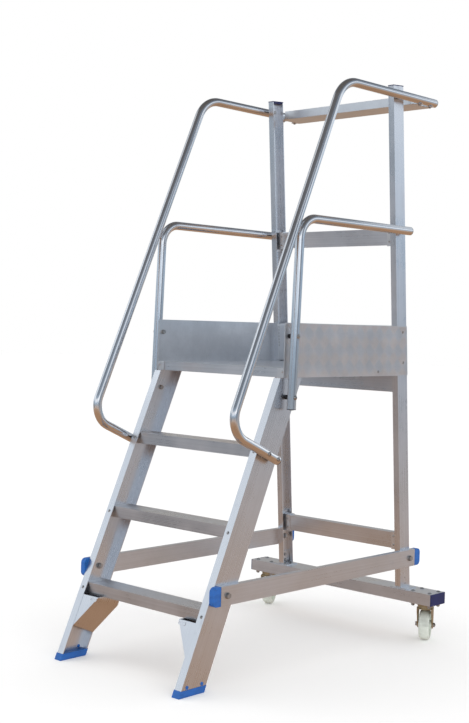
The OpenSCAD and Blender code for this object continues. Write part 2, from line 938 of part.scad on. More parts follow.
// Screws from under the shelf's ears into the tubes
module shelf_screw_places() {
    for (y = [shelf_y0 + 22, shelf_y0 + shelf_depth - 20])
        translate([rail_x, y, shelf_z]) rotate([180, 0, 0]) children();
}

module tool_shelf() {
    floor_half = rail_x - tube_d / 2 + 2;
    lip_half = rail_x - tube_d / 2 - 10;
    color(PLATE) place() difference() {
        union() {
            box([-floor_half, shelf_y0, shelf_z],
                [floor_half, shelf_y0 + shelf_depth, shelf_z + shelf_t]);
            for (y = [shelf_y0, shelf_y0 + shelf_depth - shelf_t])
                box([-lip_half, y, shelf_z],
                    [lip_half, y + shelf_t, shelf_z + shelf_lip]);
            both() for (y = [shelf_y0 + 22, shelf_y0 + shelf_depth - 20]) {
                box([floor_half - 2, y - 12, shelf_z],
                    [rail_x, y + 12, shelf_z + shelf_t]);
                translate([rail_x, y, shelf_z])
                    cylinder(r = 12, h = shelf_t);
            }
        }
        both() shelf_screw_places() hole(5, 16);
    }
}

module shelf_screws_right() {
    shelf_screw_places() {
        translate([0, 0, -9]) cylinder(d = 5, h = 9.2);
        cylinder(d = 11, h = 1.2);
        cylinder(d = 9, h = 4.2, $fn = 6);
    }
}

// ---- Base ----

module side_rail_section(inset = 0) {
    translate([half_w + inset, side_rail_z - side_rail_h / 2 + inset])
        square([side_rail_t - 2 * inset, side_rail_h - 2 * inset]);
}

module side_rail() {
    difference() {
        along_y(side_rail_front + rail_cap_len, side_rail_rear - rail_cap_len)
            difference() {
                side_rail_section();
                side_rail_section(2);
            }
        side_bolt_places() hole(side_bolt_d, side_rail_t + 12);
    }
}

// Cap for the front end of a side rail: round-cornered, with an inner plug
module side_rail_cap() {
    r = 16;
    z0 = side_rail_z - side_rail_h / 2;
    z1 = z0 + side_rail_h;
    y0 = side_rail_front;
    y1 = side_rail_front + rail_cap_len;
    along_x(half_w, half_w + side_rail_t) {
        translate([y0 + r, z0]) square([y1 - y0 - r, z1 - z0]);
        translate([y0, z0 + r]) square([r + 1, z1 - z0 - 2 * r]);
        for (z = [z0 + r, z1 - r]) translate([y0 + r, z]) circle(r = r);
    }
    along_y(y1 - 1, y1 + 12) side_rail_section(2 + plug_play / 2);
}

module side_rail_caps_right() {
    side_rail_cap();
    translate([0, side_rail_front + side_rail_rear, 0])
        mirror([0, 1, 0]) side_rail_cap();
}

module base_beam() {
    end = beam_len / 2 - 4;
    y1 = beam_front_y + beam_depth;
    color(ALUMINIUM) place() difference() {
        box([-end, beam_front_y, castor_h], [end, y1, beam_top]);
        box([-end - 1, beam_front_y + beam_wall, castor_h + beam_wall],
            [end + 1, y1 - beam_wall, beam_top - beam_wall]);
        both() castor_bolt_places() hole(8, beam_h + 30);
        both() shoe_base_places() hole(6, 12);
    }
}

module base_beam_cap() {
    end = beam_len / 2;
    y1 = beam_front_y + beam_depth;
    in = beam_wall + plug_play / 2;
    box([end - 4, beam_front_y, castor_h], [end, y1, beam_top]);
    box([end - 13, beam_front_y + in, castor_h + in],
        [end - 3, y1 - in, beam_top - in]);
}

// Shoe: a plate under the post that shows outside it, and an upright
module post_shoe() {
    y0 = post_y(beam_top);
    y1 = y0 + post_depth - post_wall - 4;
    difference() {
        union() {
            box([half_w - 44, y0 - 6, beam_top],
                [half_w + 26, y0 + post_depth + 2, beam_top + shoe_t]);
            box([post_inner - 4.3, y0 + post_wall + 1, beam_top],
                [post_inner - 0.3, y1, beam_top + 52]);
        }
        shoe_web_places() hole(6, 20);
        shoe_base_places() hole(6, 12);
    }
}

module shoe_bolts_right() {
    shoe_web_places() {
        rotate([180, 0, 0]) translate([0, 0, post_wall + 4.3]) hex_bolt(6, 7.5);
    }
    shoe_base_places() hex_bolt(6, 4 + beam_wall + 2);
}

// ---- Castors ----

module castor_frame() {
    translate([castor_x, castor_y, 0]) children();
}

// Heading frame of a castor at rest: the wheel runs along local Y
module castor_left_frame() {
    translate([-castor_x, castor_y, 0]) rotate([0, 0, castor_turn]) children();
}
module castor_right_frame() {
    translate([castor_x, castor_y, 0]) rotate([0, 0, castor_turn]) children();
}

plate_t = 3;
race_h = 8;
crown_z = castor_h - plate_t - race_h - 11;

module castor_bolt_places() {
    for (sx = [-1, 1], sy = [-1, 1])
        castor_frame() translate([sx * 36, sy * 28, beam_top]) children();
}

// Top plate with its ball cup and the kingpin
module castor_plate() {
    difference() {
        union() {
            box([-46, -38, castor_h - plate_t], [46, 38, castor_h]);
            translate([0, 0, castor_h - plate_t - race_h + 0.3])
                cylinder(d = 58, h = race_h);
            translate([0, 0, crown_z - 5.5])
                cylinder(d = kingpin_d, h = castor_h - crown_z + 4);
            translate([0, 0, crown_z - 5.5]) cylinder(d = 20, h = 4.9);
        }
        for (sx = [-1, 1], sy = [-1, 1])
            translate([sx * 36, sy * 28, castor_h - 10])
                cylinder(d = 8 + hole_play, h = 20);
        // Ball groove
        translate([0, 0, castor_h - plate_t - race_h + 0.3])
            rotate_extrude() translate([20, 0]) circle(d = 5.8);
    }
}

// Fork: domed crown with its ball groove, two legs and the axle holes
module castor_fork() {
    half_gap = fork_gap / 2;
    race_top = castor_h - plate_t - race_h;
    difference() {
        union() {
            translate([0, 0, crown_z]) cylinder(d = 62, h = fork_t);
            translate([0, 0, crown_z]) cylinder(d = 54, h = race_top - crown_z);
            box([-half_gap - fork_t, -30, crown_z],
                [half_gap + fork_t, 26, crown_z + fork_t]);
            for (side = [0, 1])
                along_x(side == 0 ? -half_gap - fork_t : half_gap,
                        side == 0 ? -half_gap : half_gap + fork_t) {
                    polygon([[-30, crown_z + 1], [26, crown_z + 1],
                             [24, crown_z - 12], [-trail + 13, axle_z + 2],
                             [-trail - 13, axle_z + 2]]);
                    translate([-trail, axle_z]) circle(r = 13.5);
                }
        }
        translate([0, 0, crown_z - 9])
            cylinder(d = kingpin_d + 2 * running, h = 60);
        translate([0, 0, race_top])
            rotate_extrude() translate([20, 0]) circle(d = 5.8);
        translate([-half_gap - 20, -trail, axle_z]) rotate([0, 90, 0])
            cylinder(d = axle_d + hole_play, h = fork_gap + 40);
    }
}

module castor_axle() {
    x = fork_gap / 2 + fork_t;
    translate([x, -trail, axle_z]) rotate([0, 90, 0]) {
        translate([0, 0, -2 * x - 9]) cylinder(d = axle_d, h = 2 * x + 11);
        cylinder(d = 17, h = 1.6);
        translate([0, 0, 1.6]) cylinder(d = 16, h = 6.4, $fn = 6);
        translate([0, 0, -2 * x - 7]) cylinder(d = 16, h = 7, $fn = 6);
    }
}

bush_d = axle_d + 7;

// Wheel: tread with bevelled edges, a thin disc and a wide hub
module castor_wheel() {
    r = wheel_d / 2;
    b = wheel_bevel;
    translate([0, -trail, axle_z]) rotate([0, 90, 0]) difference() {
        rotate_extrude() {
            polygon([[r - 13, -wheel_w / 2], [r - b, -wheel_w / 2],
                     [r, -wheel_w / 2 + b], [r, wheel_w / 2 - b],
                     [r - b, wheel_w / 2], [r - 13, wheel_w / 2]]);
            translate([14, -5]) square([r - 26, 10]);
            translate([bush_d / 2 - 1, -hub_w / 2])
                square([11, hub_w]);
        }
        translate([0, 0, -hub_w]) cylinder(d = bush_d, h = 2 * hub_w);
    }
}

// Bush pressed into the hub, running on the axle
module wheel_bush() {
    translate([-hub_w / 2 - 0.5, -trail, axle_z]) rotate([0, 90, 0])
        difference() {
            cylinder(d = bush_d, h = hub_w + 1);
            translate([0, 0, -1])
                cylinder(d = axle_d + 2 * running, h = hub_w + 4);
        }
}

module castor_bolts_right() {
    castor_bolt_places() rivet(8, beam_h + plate_t + 10);
    castor_bolt_places() translate([0, 0, -beam_h - plate_t])
        rotate([180, 0, 0]) hex_nut(8);
}

module ball_ring() {
    for (i = [0 : 15])
        rotate([0, 0, i * 22.5])
            translate([20, 0, castor_h - plate_t - race_h + 0.15])
                sphere(d = 5.2);
}

// ---- Nodes ----

module stile_left() { color(ALUMINIUM) place() left() stile(); }
module stile_right() { color(ALUMINIUM) place() stile(); }
module foot_left() { color(BLUE) place() left() foot(); }
module foot_right() { color(BLUE) place() foot(); }
module foot_rivets() { color(BLUE) place() both() foot_rivets_right(); }
module tread_1() { tread(1); }
module tread_2() { tread(2); }
module tread_3() { tread(3); }
module tread_brackets() {
    color(PLATE) place() both() for (k = [1 : 3]) tread_bracket(k);
}
module tread_rivets() { color(STEEL) place() both() tread_rivets_right(); }
module brace_left() { color(ALUMINIUM) place() left() brace(); }
module brace_right() { color(ALUMINIUM) place() brace(); }
module deck_corners() { color(PLATE) place() both() deck_corner(); }
module deck_side_left() { color(ALUMINIUM) place() left() deck_side(); }
module deck_side_right() { color(ALUMINIUM) place() deck_side(); }
module toe_board_left() { color(PLATE) place() left() toe_board_side(); }
module toe_board_right() { color(PLATE) place() toe_board_side(); }
module toe_corner_plates() { color(PLATE) place() both() toe_corner_plate(); }
module toe_board_rivets() { color(STEEL) place() both() toe_rivets_right(); }
module post_left() { color(ALUMINIUM) place() left() post(); }
module post_right() { color(ALUMINIUM) place() post(); }
module post_caps() { color(DARK) place() both() post_cap(); }
module cross_rail_middle() { cross_rail(cross_mid_z); }
module cross_rail_lower() { cross_rail(cross_low_z); }
module cross_rail_cleats() {
    color(PLATE) place() both() { cleat(cross_mid_z); cleat(cross_low_z); }
}
module cleat_screws() {
    color(STEEL) place() both() for (m = [cross_mid_z, cross_low_z])
        cleat_screw_places(m) rivet(4, 7);
}
module handrail_left() { color(ALUMINIUM) place() left() handrail(); }
module handrail_right() { color(ALUMINIUM) place() handrail(); }
module mid_rail_left() { color(ALUMINIUM) place() left() mid_rail(); }
module mid_rail_right() { color(ALUMINIUM) place() mid_rail(); }
module rail_plugs() { color(DARK) place() both() rail_plugs_right(); }
module rail_spacers() { color(DARK) place() both() rail_spacers_right(); }
module rail_bolts() { color(STEEL) place() both() rail_bolts_right(); }
module rail_welds() { color(PLATE) place() both() rail_welds_right(); }
module shelf_screws() { color(STEEL) place() both() shelf_screws_right(); }
module side_rail_left() { color(ALUMINIUM) place() left() side_rail(); }
module side_rail_right() { color(ALUMINIUM) place() side_rail(); }
module side_rail_caps() { color(BLUE) place() both() side_rail_caps_right(); }
module side_rail_bolts() {
    color(STEEL) place() both() side_bolt_places() {
        hex_bolt(side_bolt_d, side_rail_t + stile_wall + 12);
        translate([0, 0, -side_rail_t - stile_wall]) rotate([180, 0, 0])
            hex_nut(side_bolt_d);
    }
}
module base_beam_caps() { color(DARK) place() both() base_beam_cap(); }
module post_shoes() { color(PLATE) place() both() post_shoe(); }
module post_shoe_bolts() { color(STEEL) place() both() shoe_bolts_right(); }
module castor_plate_left() {
    color(ZINC) place() left() castor_frame() castor_plate();
}
module castor_plate_right() {
    color(ZINC) place() castor_frame() castor_plate();
}
module castor_bolts() { color(STEEL) place() both() castor_bolts_right(); }
module castor_fork_left() { color(ZINC) place() castor_left_frame() castor_fork(); }
module castor_fork_right() { color(ZINC) place() castor_right_frame() castor_fork(); }
module castor_axle_left() { color(STEEL) place() castor_left_frame() castor_axle(); }
module castor_axle_right() { color(STEEL) place() castor_right_frame() castor_axle(); }
module castor_wheel_left() { color(NYLON) place() castor_left_frame() castor_wheel(); }
module castor_wheel_right() { color(NYLON) place() castor_right_frame() castor_wheel(); }
module wheel_bush_left() { color(DARK) place() castor_left_frame() wheel_bush(); }
module wheel_bush_right() { color(DARK) place() castor_right_frame() wheel_bush(); }
module swivel_balls() { color(STEEL) place() both() castor_frame() ball_ring(); }

stile_left();
stile_right();
foot_left();
foot_right();
foot_rivets();
tread_1();
tread_2();
tread_3();
tread_brackets();
tread_rivets();
brace_left();
brace_right();
deck_planking();
deck_nosing();
deck_corners();
deck_side_left();
deck_side_right();
rear_deck_beam();
toe_board_left();
toe_board_right();
toe_board_rear();
toe_corner_plates();
toe_board_rivets();
post_left();
post_right();
post_caps();
cross_rail_middle();
cross_rail_lower();
cross_rail_cleats();
cleat_screws();
handrail_left();
handrail_right();
mid_rail_left();
mid_rail_right();
rail_plugs();
rail_spacers();
rail_bolts();
rail_welds();
tool_shelf();
shelf_screws();
side_rail_left();
side_rail_right();
side_rail_caps();
side_rail_bolts();
base_beam();
base_beam_caps();
post_shoes();
post_shoe_bolts();
castor_plate_left();
castor_plate_right();
castor_bolts();
castor_fork_left();
castor_fork_right();
castor_axle_left();
castor_axle_right();
castor_wheel_left();
castor_wheel_right();
wheel_bush_left();
wheel_bush_right();
swivel_balls();
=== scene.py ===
import json
import math

import bpy
from bpy.props import FloatProperty, FloatVectorProperty, PointerProperty
from mathutils import Matrix, Vector

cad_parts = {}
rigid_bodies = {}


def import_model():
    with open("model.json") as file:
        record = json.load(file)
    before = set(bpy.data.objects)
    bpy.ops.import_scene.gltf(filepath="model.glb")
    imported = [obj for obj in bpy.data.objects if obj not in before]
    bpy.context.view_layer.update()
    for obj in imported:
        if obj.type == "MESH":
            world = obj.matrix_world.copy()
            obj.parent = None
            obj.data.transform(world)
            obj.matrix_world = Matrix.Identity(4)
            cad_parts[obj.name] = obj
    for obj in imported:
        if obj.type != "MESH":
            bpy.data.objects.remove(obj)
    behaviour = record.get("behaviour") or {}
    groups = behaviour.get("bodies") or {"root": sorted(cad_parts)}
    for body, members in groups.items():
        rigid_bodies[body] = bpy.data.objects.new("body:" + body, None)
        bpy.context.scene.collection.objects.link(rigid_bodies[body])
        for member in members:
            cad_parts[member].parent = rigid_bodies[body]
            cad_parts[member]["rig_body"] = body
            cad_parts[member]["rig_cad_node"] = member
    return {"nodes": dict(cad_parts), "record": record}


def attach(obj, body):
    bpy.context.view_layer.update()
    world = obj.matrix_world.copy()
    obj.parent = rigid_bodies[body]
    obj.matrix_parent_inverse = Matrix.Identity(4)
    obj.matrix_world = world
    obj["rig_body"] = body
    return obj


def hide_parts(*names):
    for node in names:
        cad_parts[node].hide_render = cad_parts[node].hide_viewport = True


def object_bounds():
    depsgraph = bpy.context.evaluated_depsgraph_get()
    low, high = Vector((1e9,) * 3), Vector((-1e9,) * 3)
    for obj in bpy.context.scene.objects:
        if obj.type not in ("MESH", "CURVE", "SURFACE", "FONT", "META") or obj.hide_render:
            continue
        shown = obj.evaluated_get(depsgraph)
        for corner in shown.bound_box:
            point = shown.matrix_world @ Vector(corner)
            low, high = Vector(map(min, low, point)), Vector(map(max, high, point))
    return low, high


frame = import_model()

bl_info = {
    "name": "Mobile ladder stand",
    "version": (1, 0, 0),
    "blender": (4, 5, 0),
    "location": "3D View > Sidebar > Ladder stand",
    "description": "Finishes and fine pieces for an aluminium ladder stand on castors",
    "category": "Object",
}

CAD_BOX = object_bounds()
SIDES = ("left", "right")

STILE_SLOPE = math.radians(66.2)
POST_LEAN = math.radians(4.5)
DECK_HEIGHT = 1.0
TOE_BOARD_WALL = 0.0025
SHOE_PLATE_WALL = 0.004
# How far the sole of a foot stands out in front of the stile
SOLE_OUT = 0.0015
# Where the front line of the stiles meets the floor
FRONT_Y = CAD_BOX[0][1] + SOLE_OUT / math.sin(STILE_SLOPE)

# Edges sharper than this are rounded
SHARP_EDGE = math.radians(40)
# Facets of one flat that differ by less than this are merged
FLAT_EDGE = math.radians(0.5)
# Turn of one step round a bend
BEND_STEP = 0.09
# Share of a bead's radius from one ripple to the next
RIPPLE = 1.25
SENSOR = 36.0


# ---------------------------------------------------------------- sizes

def size(label, default, info, low=0.0001, high=3.0):
    return FloatProperty(
        name=label, description=info, default=default, min=low, max=high,
        unit="LENGTH", precision=4)


def colour(label, default, info):
    return FloatVectorProperty(
        name=label, description=info, default=default, size=3,
        subtype="COLOR", min=0.0, max=1.0)


class StandFinish(bpy.types.PropertyGroup):
    """Colours of the stand's finishes"""
    extrusion: colour("Extrusion", (0.74, 0.76, 0.80), "Mill-finish aluminium of the frame")
    sheet: colour("Sheet", (0.80, 0.82, 0.85), "Bright aluminium sheet")
    tube: colour("Tube", (0.78, 0.79, 0.81), "Polished aluminium of the rails")
    bolt: colour("Bolt", (0.50, 0.50, 0.50), "Plated steel of bolts and rivets")
    zinc: colour("Yellow zinc", (0.50, 0.43, 0.28), "Yellow plating of the castors")
    blue: colour("Blue plastic", (0.010, 0.118, 0.44), "Feet and side rail caps")
    navy: colour("Dark blue plastic", (0.006, 0.014, 0.10), "Beam and post caps")
    black: colour("Black plastic", (0.012, 0.012, 0.016), "Tube plugs and spacers")
    nylon: colour("Wheel", (0.66, 0.70, 0.64), "Cast nylon of the wheels")


class StandSizes(bpy.types.PropertyGroup):
    """Sizes of the fine pieces, in metres"""
    edge: size("Edge radius", 0.0009, "Rounding of the extrusions' edges")
    bar_length: size("Bar length", 0.037, "Length of one raised bar")
    bar_width: size("Bar width", 0.0040, "Width of one raised bar")
    bar_height: size("Bar height", 0.0014, "Height of one raised bar")
    bar_block: size("Bar block", 0.040, "Side of a block of five bars")
    bead: size("Weld bead", 0.0030, "Radius of a weld bead")


class RailSizes(bpy.types.PropertyGroup):
    """Course of the rail tubes, in metres from the floor and the stiles' front line"""
    radius: size("Tube radius", 0.015, "Outer radius of the tubes")
    wall: size("Tube wall", 0.002, "Wall of the tubes")
    across: size("Across", 0.324, "From the middle of the stand to a tube's centre")
    out: size("Out", 0.180, "Square distance of the handrail in front of the stile")
    up_stile: size("Up the stile", 0.803, "Where the handrail's leg meets the stile")
    past: size("Past the front", 0.074, "How far the leg runs behind the stile's front")
    top: size("Handrail height", 1.968, "Centre of the handrail's top run")
    rear: size("Handrail rear", 1.212, "Rear end of the handrail")
    low_bend: size("Low bend", 0.078, "Bend radius at the handrail's leg")
    top_bend: size("Top bend", 0.110, "Bend radius at the handrail's top")
    mid_leg: size("Middle leg", 0.458, "Place of the middle rail's leg at deck height")
    mid_foot: size("Middle foot", 0.868, "Height of the middle rail's lower end")
    mid_top: size("Middle height", 1.492, "Centre of the middle rail's run")
    mid_rear: size("Middle rear", 1.083, "Rear end of the middle rail")
    mid_bend: size("Middle bend", 0.075, "Bend radius of the middle rail")
    mid_lean: FloatProperty(
        name="Middle lean", description="Rearward lean of the middle rail's leg",
        default=math.radians(1.9), subtype="ANGLE")


class StudioSizes(bpy.types.PropertyGroup):
    """Camera and floor"""
    camera: FloatVectorProperty(
        name="Camera", description="Place of the camera", size=3, subtype="TRANSLATION",
        default=(2.9176, -3.2198, 1.1378))
    yaw: FloatProperty(
        name="Yaw", description="Turn of the camera to the left of straight ahead",
        default=math.radians(43.06), subtype="ANGLE")
    pitch: FloatProperty(
        name="Pitch", description="Tilt of the camera above level",
        default=math.radians(-2.18), subtype="ANGLE")
    roll: FloatProperty(
        name="Roll", description="Roll of the camera about its view",
        default=math.radians(1.59), subtype="ANGLE")
    lens: FloatProperty(
        name="Lens", description="Focal length", default=61.36, unit="CAMERA")
    floor: FloatProperty(
        name="Floor", description="Side of the floor", default=60.0, unit="LENGTH")


# ---------------------------------------------------------------- shader kit

class Value:
    """A node's output socket that takes part in arithmetic."""

    def __init__(self, kit, socket):
        self.kit = kit
        self.socket = socket

    def sum(self, operation, *others):
        return self.kit.node("ShaderNodeMath", {"operation": operation}, *others)

    def __add__(self, other):
        return self.sum("ADD", self, other)

    __radd__ = __add__

    def __mul__(self, other):
        return self.sum("MULTIPLY", self, other)

    __rmul__ = __mul__

    def over(self, low, high):
        """0 below low, 1 above high and smooth between."""
        return self.kit.node(
            "ShaderNodeMapRange", {"interpolation_type": "SMOOTHSTEP"},
            self, low, high)


class Kit:
    """Builds one node tree."""

    def __init__(self, tree):
        self.tree = tree

    def node(self, kind, settings=None, *inputs, out=0, **named):
        made = self.tree.nodes.new(kind)
        for key, value in (settings or {}).items():
            setattr(made, key, value)
        pairs = list(enumerate(inputs)) + [(k.replace("_", " "), v) for k, v in named.items()]
        for key, value in pairs:
            self.feed(made.inputs[key], value)
        return Value(self, made.outputs[out])

    def feed(self, socket, value):
        if isinstance(value, Value):
            self.tree.links.new(value.socket, socket)
        elif value is not None:
            socket.default_value = value

    def mix(self, factor, first, second):
        """A colour between first and second."""
        made = self.tree.nodes.new("ShaderNodeMix")
        made.data_type = "RGBA"
        self.feed(made.inputs[0], factor)
        for socket, value in ((made.inputs[6], first), (made.inputs[7], second)):
            self.feed(socket, value if isinstance(value, Value) else (*value, 1.0))
        return Value(self, made.outputs[2])


def box_of(obj):
    """Lowest and highest corner of one object."""
    corners = [obj.matrix_world @ Vector(c) for c in obj.bound_box]
    return (Vector(min(c[i] for c in corners) for i in range(3)),
            Vector(max(c[i] for c in corners) for i in range(3)))


def lighter(rgb, share):
    return tuple(min(1.0, c * share) for c in rgb)


class Finish(Kit):
    """A Principled material on Object coordinates."""

    def __init__(self, name, turn=(0.0, 0.0, 0.0)):
        self.material = bpy.data.materials.new(name)
        self.material.use_nodes = True
        super().__init__(self.material.node_tree)
        self.shader = self.tree.nodes["Principled BSDF"]
        self.turn = turn

    def place(self, scale=(1.0, 1.0, 1.0)):
        """Object coordinates, turned with the piece and then stretched."""
        point = self.node("ShaderNodeTexCoord", None, out=3)
        if any(self.turn):
            point = self.node(
                "ShaderNodeMapping", {"vector_type": "POINT"}, point, (0, 0, 0), self.turn)
        return self.node(
            "ShaderNodeMapping", {"vector_type": "POINT"}, point, (0, 0, 0), (0, 0, 0), scale)

    def noise(self, scale, size=1.0, detail=3.0, rough=0.5):
        return self.node(
            "ShaderNodeTexNoise", None, Vector=self.place(scale), Scale=size,
            Detail=detail, Roughness=rough)

    def bump(self, height, distance, strength=1.0):
        self.set(Normal=self.node(
            "ShaderNodeBump", None, Strength=strength, Distance=distance, Height=height))

    def set(self, **sockets):
        for key, value in sockets.items():
            if isinstance(value, tuple) and len(value) == 3:
                value = (*value, 1.0)
            self.feed(self.shader.inputs[key.replace("_", " ")], value)


# ---------------------------------------------------------------- finishes

ALONG = {"x": 0, "y": 1, "z": 2}


def stretched(axis, along, across):
    return tuple(along if i == ALONG[axis] else across for i in range(3))


def extruded(name, rgb, axis, turn=(0.0, 0.0, 0.0), gloss=0.27):
    """Mill-finish extrusion: fine die lines along it, dull patches and rubbed spots."""
    made = Finish(name, turn)
    lines = made.noise(stretched(axis, 1.2, 260.0), 1.0, 2.0, 0.6)
    fine = made.noise(stretched(axis, 3.0, 900.0), 1.0, 1.0)
    cloud = made.noise((5.0, 5.0, 5.0), 1.0, 4.0, 0.6)
    rubbed = made.noise(stretched(axis, 9.0, 22.0), 1.0, 6.0, 0.7).over(0.56, 0.74)
    shade = cloud * 0.6 + lines * 0.4
    made.set(
        Base_Color=made.mix(
            rubbed * 0.16,
            made.mix(shade.over(0.3, 0.7), lighter(rgb, 0.88), lighter(rgb, 1.06)),
            lighter(rgb, 0.74)),
        Metallic=1.0,
        Roughness=gloss + 0.16 * lines + 0.10 * cloud.over(0.35, 0.7) + 0.10 * rubbed)
    made.bump(lines * 0.6 + fine * 0.4, 0.00007, 0.4)
    return made.material


def sheet_metal(name, rgb, axis, gloss=0.40):
    """Bright rolled sheet: a soft grain one way and faint water marks."""
    made = Finish(name)
    grain = made.noise(stretched(axis, 6.0, 420.0), 1.0, 2.0)
    marks = made.noise((7.0, 7.0, 7.0), 1.0, 5.0, 0.65)
    specks = made.noise((160.0, 160.0, 160.0), 1.0, 2.0).over(0.66, 0.74)
    made.set(
        Base_Color=made.mix(
            specks * 0.4,
            made.mix(marks.over(0.32, 0.68), lighter(rgb, 0.90), lighter(rgb, 1.04)),
            lighter(rgb, 0.7)),
        Metallic=1.0,
        Roughness=gloss + 0.12 * grain + 0.10 * marks)
    made.bump(grain, 0.00010, 0.5)
    return made.material


def drawn_tube(name, rgb):
    """Polished tube: smears and faint rings where hands and tools have rubbed."""
    made = Finish(name)
    smear = made.noise((14.0, 3.0, 3.0), 1.0, 5.0, 0.65)
    scuff = made.noise((60.0, 60.0, 9.0), 1.0, 4.0, 0.7).over(0.60, 0.72)
    made.set(
        Base_Color=made.mix(
            smear.over(0.35, 0.65), lighter(rgb, 0.90), lighter(rgb, 1.05)),
        Metallic=1.0,
        Roughness=0.09 + 0.12 * smear + 0.16 * scuff)
    made.bump(smear + scuff * 0.3, 0.00010, 0.4)
    return made.material


def plated(name, rgb, gloss=0.34, tint=None):
    """Plated steel: a cloudy film, darker in patches."""
    made = Finish(name)
    film = made.noise((45.0, 45.0, 45.0), 1.0, 4.0, 0.6)
    grit = made.noise((420.0, 420.0, 420.0), 1.0, 2.0)
    base = made.mix(film.over(0.3, 0.7), lighter(rgb, 0.78), lighter(rgb, 1.15))
    if tint:
        patch = made.noise((28.0, 28.0, 28.0), 1.0, 3.0).over(0.52, 0.68)
        base = made.mix(patch * 0.5, base, tint)
    made.set(Base_Color=base, Metallic=1.0, Roughness=gloss + 0.18 * film)
    made.bump(grit, 0.00008, 0.5)
    return made.material


def moulded(name, rgb, gloss=0.42, dirt=0.25):
    """Moulded plastic: fine texture, faint flow marks and grey scuffs."""
    made = Finish(name)
    grain = made.noise((700.0, 700.0, 700.0), 1.0, 2.0)
    flow = made.noise((18.0, 18.0, 60.0), 1.0, 4.0, 0.6)
    scuff = made.noise((55.0, 55.0, 130.0), 1.0, 6.0, 0.75).over(0.60, 0.74)
    made.set(
        Base_Color=made.mix(
            scuff * dirt,
            made.mix(flow.over(0.3, 0.7), lighter(rgb, 0.86), lighter(rgb, 1.16)),
            (0.22, 0.23, 0.25)),
        Roughness=gloss + 0.12 * flow + 0.12 * scuff)
    made.bump(grain * 0.7 + scuff * 0.3, 0.00014, 0.6)
    return made.material


def weld_metal(name, rgb):
    """Weld bead: bright ripples with a sooty edge."""
    made = Finish(name)
    ripple = made.noise((90.0, 90.0, 90.0), 1.0, 3.0)
    soot = made.noise((60.0, 60.0, 60.0), 1.0, 4.0).over(0.5, 0.7)
    made.set(
        Base_Color=made.mix(soot * 0.6, rgb, lighter(rgb, 0.45)),
        Metallic=1.0, Roughness=0.36 + 0.2 * ripple)
    made.bump(ripple, 0.0004, 0.5)
    return made.material


def paint(obj, material):
    slots = obj.data.materials
    slots.clear()
    slots.append(material)
    for face in obj.data.polygons:
        face.material_index = 0


# ---------------------------------------------------------------- modelling kit

def deselect():
    if bpy.context.object and bpy.context.object.mode != "OBJECT":
        bpy.ops.object.mode_set(mode="OBJECT")
    bpy.ops.object.select_all(action="DESELECT")


def pick(*objs):
    deselect()
    for obj in objs:
        obj.select_set(True)
    bpy.context.view_layer.objects.active = objs[0]


def settle(obj, name=None):
    """Moves an object's place into its mesh."""
    pick(obj)
    bpy.ops.object.transform_apply(location=True, rotation=True, scale=True)
    if name:
        obj.name = name
        obj.data.name = name
    return obj


def modify(obj, kind, **settings):
    pick(obj)
    made = obj.modifiers.new(kind.lower(), kind)
    for key, value in settings.items():
        setattr(made, key, value)
    bpy.ops.object.modifier_apply(modifier=made.name)
    return obj


def smooth(obj, angle=35):
    pick(obj)
    bpy.ops.object.shade_smooth_by_angle(angle=math.radians(angle))


def join(objs, name):
    pick(*objs)
    if len(objs) > 1:
        bpy.ops.object.join()
    return settle(objs[0], name)


def softened(node, width, segments):
    """A CAD node's shape with its edges rounded."""
    source = frame["nodes"][node]
    pick(source)
    bpy.ops.object.duplicate()
    made = bpy.context.object
    made.parent = None
    made.matrix_world = Matrix.Identity(4)
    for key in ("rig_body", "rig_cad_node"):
        if key in made:
            del made[key]
    pick(made)
    bpy.ops.object.mode_set(mode="EDIT")
    bpy.ops.mesh.select_all(action="SELECT")
    bpy.ops.mesh.remove_doubles(threshold=0.000002)
    bpy.ops.mesh.dissolve_limited(angle_limit=FLAT_EDGE)
    bpy.ops.object.mode_set(mode="OBJECT")
    modify(
        made, "BEVEL", width=width, segments=segments, limit_method="ANGLE",
        angle_limit=SHARP_EDGE, harden_normals=False, use_clamp_overlap=True)
    smooth(made)
    flat_lit(made)
    made.name = node + "_rounded"
    made.data.name = made.name
    return made


def flat_lit(obj):
    """Keeps big flats flat between rounded edges."""
    modify(obj, "WEIGHTED_NORMAL", keep_sharp=True, weight=100)


def turn_between(before, after):
    turn = math.atan2(*reversed(after)) - math.atan2(*reversed(before))
    return (turn + math.pi) % (2 * math.pi) - math.pi


